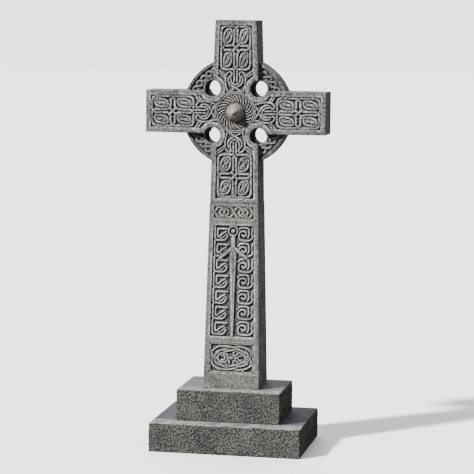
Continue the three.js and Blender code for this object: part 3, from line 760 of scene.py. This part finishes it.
# a border, two pairs of crossed ovals that lean both ways, a ring with a hook in it at each side, and a bar
# through the middle between short legs
def knotPanelStrands():
    n, (low, high) = knotPanel, shaft["knotPanel"]
    z, reach, rise = (low + high) / 2, shaft["panelHalf"], (high - low) / 2
    border = roundedLoop(z, reach - n["borderIn"], rise - n["borderIn"], 4)
    made = [strand(border, n["border"], closed=True, curved=False)]
    for radiusU, radiusV, lean in n["ovals"]:
        for side in (-1, 1):
            a = math.radians(side * lean)
            turned = np.array([[math.cos(a), math.sin(a)], [-math.sin(a), math.cos(a)]])
            oval = circleLine(0, 0, radiusU, radiusV, 30) @ turned + (0, z)
            made.append(strand(oval, n["ovalStrand"], closed=True, perSpan=3))
    bend, radius = np.radians(np.linspace(-120, 120, 9)), n["hookRadius"]
    for side in (-1, 1):
        loop = circleLine(side * n["ringAt"], z, *n["ringSize"], 18)
        made.append(strand(loop, n["ringStrand"], closed=True, perSpan=3))
        hook = np.stack([side * (n["hookAt"] - radius * np.cos(bend)), z + radius * np.sin(bend)], 1)
        made.append(strand(hook, n["hookStrand"]))
        for edge in (-1, 1):                   # a bar across each corner
            bar = np.array([(reach - 7, rise - 24), (reach - 31, rise - 7)]) * (side, edge) + (0, z)
            made.append(strand(bar, n["cornerStrand"], curved=False))
    for u, edge in ((6, 1), (-6, -1), (6, -1)):
        made.append(strand([(u, z + edge * 7), (u, z + edge * 16)], n["legStrand"], curved=False))
    made.append(strand([(-12, z), (2, z), (16, z)], n["barStrand"], curved=False, split=n["barLine"]))
    return weave(made)


# depth of the shaft's carving: the pocket's depth less the strand's height, the sword over everything
def shaftRelief(xs, zs):
    s = shaft
    under = weave(spiralStrands()) + smallPanelStrands() + knotPanelStrands()
    strands = carve(xs, zs, under, s["rise"], s["gap"])[0]
    over, cut = carve(xs, zs, swordStrands(), s["pocket"] + sword["proud"], sword["gap"])
    strands = np.where(cut, over, strands)
    x, z = np.meshgrid(xs, zs, indexing="ij")
    inside = np.zeros_like(x)
    for low, high in (s["knotPanel"], s["swordPanel"], s["smallPanel"]):
        edge = np.minimum(s["panelHalf"] - np.abs(x), np.minimum(z - low, high - z))
        inside = np.maximum(inside, easeStep(edge, 0, 1.6))
    small = z > s["smallPanel"][0] - 2         # the small panel is cut less deep
    shallow = np.minimum(strands * smallPanel["share"] + smallPanel["lift"], s["pocket"])
    strands = np.where(small, shallow, strands)
    return np.where(inside > 0, np.minimum(s["pocket"] * inside, s["pocket"] - strands), 0)


# the shaft: columns run right round (front fine, sides and back coarse), rows run up, and width and
# depth shrink evenly with height
def shaftSurface():
    s = shaft
    half, r = s["midWidth"] / 2, s["arris"]
    fine = np.linspace(-half + r, half - r, int(s["midWidth"] / step / s["columnStep"]))
    zs = np.linspace(0, s["height"], int(s["height"] / step / s["rowStep"]))
    depth = shaftRelief(fine, zs)
    bend = np.linspace(0, math.pi / 2, 4)[1:-1]
    corner, drop, out = half - r + r * np.sin(bend), r - r * np.cos(bend), np.full(len(bend), 1.0)
    side = np.linspace(-1, 1, s["sideColumns"])
    wall, wallDrop = np.full(len(side), half), r * (np.abs(side) > 0.999)
    back = np.linspace(half - r, -half + r, s["backColumns"])
    # each column: its place across at mid height, its share of the half depth, and its drop at the arris
    across = np.concatenate([fine, corner, wall, corner[::-1], back, -corner, -wall, -corner[::-1]])
    share = np.concatenate([np.full(len(fine), -1), -out, side, out, np.full(len(back), 1), out, -side, -out])
    ease = np.concatenate([0 * fine, drop, wallDrop, drop[::-1], 0 * back, drop, wallDrop, drop[::-1]])
    grow = zs / s["height"]
    width = (s["footWidth"] + (s["topWidth"] - s["footWidth"]) * grow) / s["midWidth"]
    halfDepth = (s["footDepth"] + (s["topDepth"] - s["footDepth"]) * grow) / 2
    y = share[:, None] * (halfDepth - ease[:, None])
    y[:len(fine)] += depth
    points = np.stack([across[:, None] * width, y, np.repeat(zs[None], len(across), 0)], -1)
    settle = 0.85 * np.abs(wear(points.reshape(-1, 3), *s["wear"])).reshape(y.shape)
    flat = (np.abs(share) > 0.999) & (np.abs(across) < half - 0.01)
    # the front and back settle along y, the rest along x
    points[..., 0] -= np.where(flat, 0, np.sign(across))[:, None] * settle
    points[..., 1] -= np.where(flat, np.sign(share), 0)[:, None] * settle
    points[..., 2] += s["foot"]
    shade = np.full(y.shape, plainShade)
    # dirt and painted shade on the shaft's carved front
    shade[:len(fine)] = pocketShade(depth, depth, s["pocket"])
    return points.reshape(-1, 3), *tubeFaces(len(across), len(zs)), shade.ravel()


points, quads, caps, shade = shaftSurface()
putPiece("carvedShaft", points, quads, "shaft", shaftStone, caps=caps, dirtAndPaintedShade=shade)


# the two steps
lowerStep = {"width": 430.0, "depth": 330.0, "base": 0.0, "height": 82.0, "arris": 3.0, "ledge": 78.0,
             "spacing": 1.5, "hammer": 1.5, "seed": 61}
upperStep = {"width": 296.0, "depth": 220.0, "base": 82.0, "height": 88.0, "arris": 3.0, "ledge": 76.0,
             "spacing": 1.4, "hammer": 1.4, "seed": 77}


# a block: its rounded outline is carried up the sides and in over the top, and hammering is
# taken off along the outward direction, so nothing stands beyond the cut size
def hammeredBlock(b):
    spacing = b["spacing"] * 1
    r, tall, halfX, halfY = b["arris"], b["height"], b["width"] / 2, b["depth"] / 2
    outline, outward = [], []
    for k, (cx, cy) in enumerate([(1, -1), (1, 1), (-1, 1), (-1, -1)]):
        bend = np.radians(np.linspace(-90, 0, 5)[1:-1] + 90 * k)
        corner = np.stack([np.cos(bend), np.sin(bend)], 1)
        outline.append(np.array([cx * (halfX - r), cy * (halfY - r)]) + r * corner)
        way = np.array([(1, 0), (0, 1), (-1, 0), (0, -1)][k])
        out, length = (halfX, halfY)[k % 2], 2 * (halfY, halfX)[k % 2] - 2 * r
        along = np.linspace(-length / 2, length / 2, int(length / spacing))[:, None]
        outline.append(way * out + along * (-way[1], way[0]))
        outward += [corner, np.tile(way, (len(along), 1))]
    outline, outward = np.vstack(outline), np.vstack(outward)
    bend = np.radians(np.linspace(0, 90, 4))
    sideZ = np.linspace(r, tall - r, int(tall / spacing))
    topInset = r + (b["ledge"] - r) * np.linspace(0, 1, 30)[1:] ** 1.25
    roundIn, roundUp = r - r * np.sin(bend), r - r * np.cos(bend)
    inset = np.concatenate([roundIn, 0 * sideZ, roundIn[::-1], topInset])
    z = np.concatenate([roundUp, sideZ, tall - roundUp[::-1], np.full(len(topInset), tall)])
    keep = np.concatenate([[True], np.hypot(np.diff(inset), np.diff(z)) > 0.05])
    inset, z = inset[keep], z[keep]
    lift = np.clip((z - (tall - r)) / r, 0, 1) - np.clip((r - z) / r, 0, 1)
    shrink = np.clip(inset - r, 0, None)
    drawnIn = np.minimum(inset, 0.92 * r)      # stops short of the corner's centre, so that its points stay apart
    towards = outward[:, None] * np.ones((len(z), 1))
    flat = outline[:, None] * (1 - shrink[:, None] / (halfX, halfY)) - towards * drawnIn[:, None]
    points = np.dstack([flat, np.repeat(z[None] + b["base"], len(outline), 0)])

    spots, seed = points.reshape(-1, 3), b["seed"]             # pits of two sizes over a slow wave
    pits = np.clip(latticeNoise(spots, 4.2, seed), -0.5, 1) + 0.6 * latticeNoise(spots, 2.2, seed + 1)
    pits = b["hammer"] * (0.75 + 0.6 * pits) + 0.5 + 0.5 * latticeNoise(spots, 30, seed + 2)
    pits = np.clip(pits, 0, None).reshape(points.shape[:2])
    onTop = np.clip(lift, 0, 1)
    pits = pits * (1 - 0.75 * onTop * (shrink > 0))             # shallower on the ledge
    points[..., :2] -= towards * (np.sqrt(np.clip(1 - lift ** 2, 0, 1)) * pits)[..., None]
    points[..., 2] -= 0.8 * onTop * pits
    return points.reshape(-1, 3), *tubeFaces(len(outline), len(z))


for name, block, node, slot, finish in (
        ("lowerStep", lowerStep, "lower_step", "step_stone_lower", lowerStepStone),
        ("upperStep", upperStep, "upper_step", "step_stone_upper", upperStepStone)):
    points, quads, caps = hammeredBlock(block)
    putPiece(name, points, quads, node, finish, caps=caps)


# floor, sky, lamps and camera
studio = {
    "floor": 0.90, "floorBounce": 0.12, "sky": 0.125, "backdrop": 2.7,
    "key": {"turn": -46, "lift": 40, "soft": 4, "power": 12},
    "fill": {"turn": -165, "lift": 35, "soft": 40, "power": 3.4},
    "side": {"turn": 95, "lift": 44, "soft": 40, "power": 0.85},
}


# one value for what the camera sees directly and another for the light thrown back
def seenValue(tree, socket, thrown, seen):
    made = tree.nodes.new("ShaderNodeMapRange")
    setSockets(made, {"To Min": thrown, "To Max": seen})
    tree.links.new(tree.nodes.new("ShaderNodeLightPath").outputs["Is Camera Ray"], made.inputs["Value"])
    tree.links.new(made.outputs["Result"], socket)


floorMesh = bpy.data.meshes.new("studioFloor")
floorMesh.from_pydata(np.pad(circleLine(0, 0, 40, count=96), ((0, 0), (0, 1))), [], [list(range(96))])
floor = bpy.data.objects.new("studioFloor", floorMesh)
bpy.context.collection.objects.link(floor)
floorPaint = bpy.data.materials.new("paleFloor")
floorPaint.use_nodes = True
floorShader = floorPaint.node_tree.nodes["Principled BSDF"]
floorShader.inputs["Roughness"].default_value = 0.9
seenValue(floorPaint.node_tree, floorShader.inputs["Base Color"], studio["floorBounce"], studio["floor"])
floorMesh.materials.append(floorPaint)

world = bpy.data.worlds.new("studioSky")
bpy.context.scene.world = world
world.use_nodes = True
skyShader = world.node_tree.nodes["Background"]
skyShader.inputs["Color"].default_value = (1, 1, 1, 1)
seenValue(world.node_tree, skyShader.inputs["Strength"], studio["sky"], studio["backdrop"])


# direction from the stone towards a lamp or the camera: turn is measured from the front, lift from the ground
def direction(turn, lift):
    return Vector((math.sin(turn) * math.cos(lift), -math.cos(turn) * math.cos(lift), math.sin(lift)))


# a sun 3 m out along its direction, turned to face the stone
def softSun(name, lamp):
    back = direction(math.radians(lamp["turn"]), math.radians(lamp["lift"]))
    light = bpy.data.lights.new(name, "SUN")
    light.angle, light.energy = math.radians(lamp["soft"]), lamp["power"]
    made = bpy.data.objects.new(name, light)
    made.location = back * 3
    made.rotation_euler = back.to_track_quat("Z", "Y").to_euler()
    bpy.context.collection.objects.link(made)


for lamp in ("key", "fill", "side"):
    softSun(lamp + "Light", studio[lamp])

# the camera fitted to the photo: angles in degrees, distances in metres
view = {"turn": 11.107, "lift": 6.326, "roll": 0.621, "away": 5.6508, "aim": (0.0003, 0, 0.5919), "lens": 152.3}
turn, lift, roll = (math.radians(view[k]) for k in ("turn", "lift", "roll"))
back = direction(turn, lift)
right = Vector((math.cos(turn), math.sin(turn), 0))
up = back.cross(right)
right, up = right * math.cos(roll) + up * math.sin(roll), up * math.cos(roll) - right * math.sin(roll)
camera = bpy.data.objects.new("photoCamera", bpy.data.cameras.new("photoCamera"))
camera.data.lens, camera.data.sensor_width = view["lens"], 36
place = Vector(view["aim"]) + back * view["away"]
camera.matrix_world = Matrix([[right[k], up[k], back[k], place[k]] for k in range(3)] + [[0, 0, 0, 1]])
bpy.context.collection.objects.link(camera)
bpy.context.scene.camera = camera
print("studio set")
